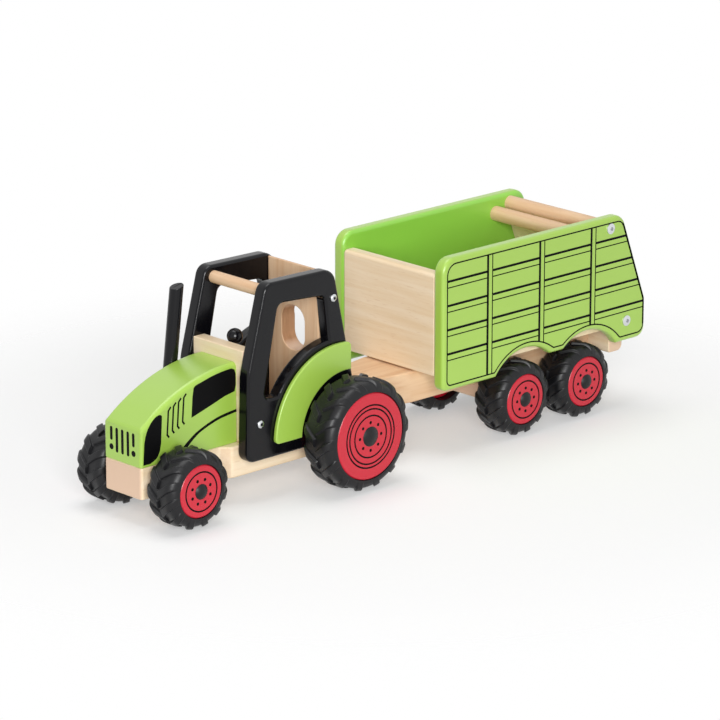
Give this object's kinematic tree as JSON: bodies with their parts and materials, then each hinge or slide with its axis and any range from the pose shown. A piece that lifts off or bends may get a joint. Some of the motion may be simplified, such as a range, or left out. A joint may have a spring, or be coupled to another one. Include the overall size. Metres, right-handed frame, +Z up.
{
  "type": "toy tractor with trailer",
  "caption": "Wooden toy tractor with an open cab and exhaust stack, lugged rubber tyres on turning axles, and an open-topped tipper-shaped trailer that swings on a hitch peg.",
  "frame": {"origin": "on the ground under the middle of the whole set's bounding box, trailer straight behind the tractor", "axes": "+X forward toward the hood's nose, +Y to the toy's left side, +Z up"},
  "size_m": [0.4964, 0.1556, 0.1679],
  "materials": {
    "natural_beech": "clear satin lacquer",
    "lime_painted_wood": "satin paint",
    "black_painted_wood": "satin paint",
    "red_painted_wood": "satin paint",
    "tyre_rubber": "matte moulded",
    "black_plastic": "matte moulded",
    "steel": "bright zinc plated"
  },
  "bodies": {
    "tractor": {"chassis": "natural_beech", "hitch_peg": "natural_beech", "hood": "lime_painted_wood", "exhaust_stack": "black_painted_wood", "dash_board": "natural_beech", "cab_back_board": "natural_beech", "roof_dowel": "natural_beech", "cab_panel_left": "black_painted_wood", "cab_panel_right": "black_painted_wood", "fender_left": "lime_painted_wood", "fender_right": "lime_painted_wood", "cab_screws": "steel"},
    "steering": {"steering_knob": "black_painted_wood"},
    "front_wheels": {"front_axle": "steel", "front_tyre_left": "tyre_rubber", "front_tyre_right": "tyre_rubber", "front_hub_left": "red_painted_wood", "front_hub_right": "red_painted_wood", "front_caps": "black_plastic"},
    "rear_wheels": {"rear_axle": "steel", "rear_tyre_left": "tyre_rubber", "rear_tyre_right": "tyre_rubber", "rear_hub_left": "red_painted_wood", "rear_hub_right": "red_painted_wood", "rear_caps": "black_plastic"},
    "trailer": {"drawbar": "natural_beech", "axle_block": "natural_beech", "floor_board": "natural_beech", "front_board": "natural_beech", "rear_board": "natural_beech", "rear_sill": "natural_beech", "rear_dowel": "natural_beech", "side_panel_left": "lime_painted_wood", "side_panel_right": "lime_painted_wood", "trailer_screws": "steel"},
    "bogie_front_wheels": {"bogie_front_axle": "steel", "bogie_front_tyre_left": "tyre_rubber", "bogie_front_tyre_right": "tyre_rubber", "bogie_front_hub_left": "red_painted_wood", "bogie_front_hub_right": "red_painted_wood", "bogie_front_caps": "black_plastic"},
    "bogie_rear_wheels": {"bogie_rear_axle": "steel", "bogie_rear_tyre_left": "tyre_rubber", "bogie_rear_tyre_right": "tyre_rubber", "bogie_rear_hub_left": "red_painted_wood", "bogie_rear_hub_right": "red_painted_wood", "bogie_rear_caps": "black_plastic"}
  },
  "joints": [
    {"name": "front_wheels_spin", "type": "hinge", "parent": "tractor", "child": "front_wheels", "pos_m": [0.2182, 0, 0.03], "axis": [0, 1, 0], "continuous": true},
    {"name": "rear_wheels_spin", "type": "hinge", "parent": "tractor", "child": "rear_wheels", "pos_m": [0.0674, 0, 0.0435], "axis": [0, 1, 0], "continuous": true},
    {"name": "steering_turn", "type": "hinge", "parent": "tractor", "child": "steering", "pos_m": [0.1414, 0, 0.1108], "axis": [-0.5736, 0, 0.8192], "continuous": true},
    {"name": "hitch_swing", "type": "hinge", "parent": "tractor", "child": "trailer", "pos_m": [0.0264, 0, 0.055], "axis": [0, 0, 1], "range_deg": [-30, 30]},
    {"name": "bogie_front_wheels_spin", "type": "hinge", "parent": "trailer", "child": "bogie_front_wheels", "pos_m": [-0.1141, 0, 0.03], "axis": [0, 1, 0], "continuous": true},
    {"name": "bogie_rear_wheels_spin", "type": "hinge", "parent": "trailer", "child": "bogie_rear_wheels", "pos_m": [-0.1825, 0, 0.03], "axis": [0, 1, 0], "continuous": true}
  ]
}
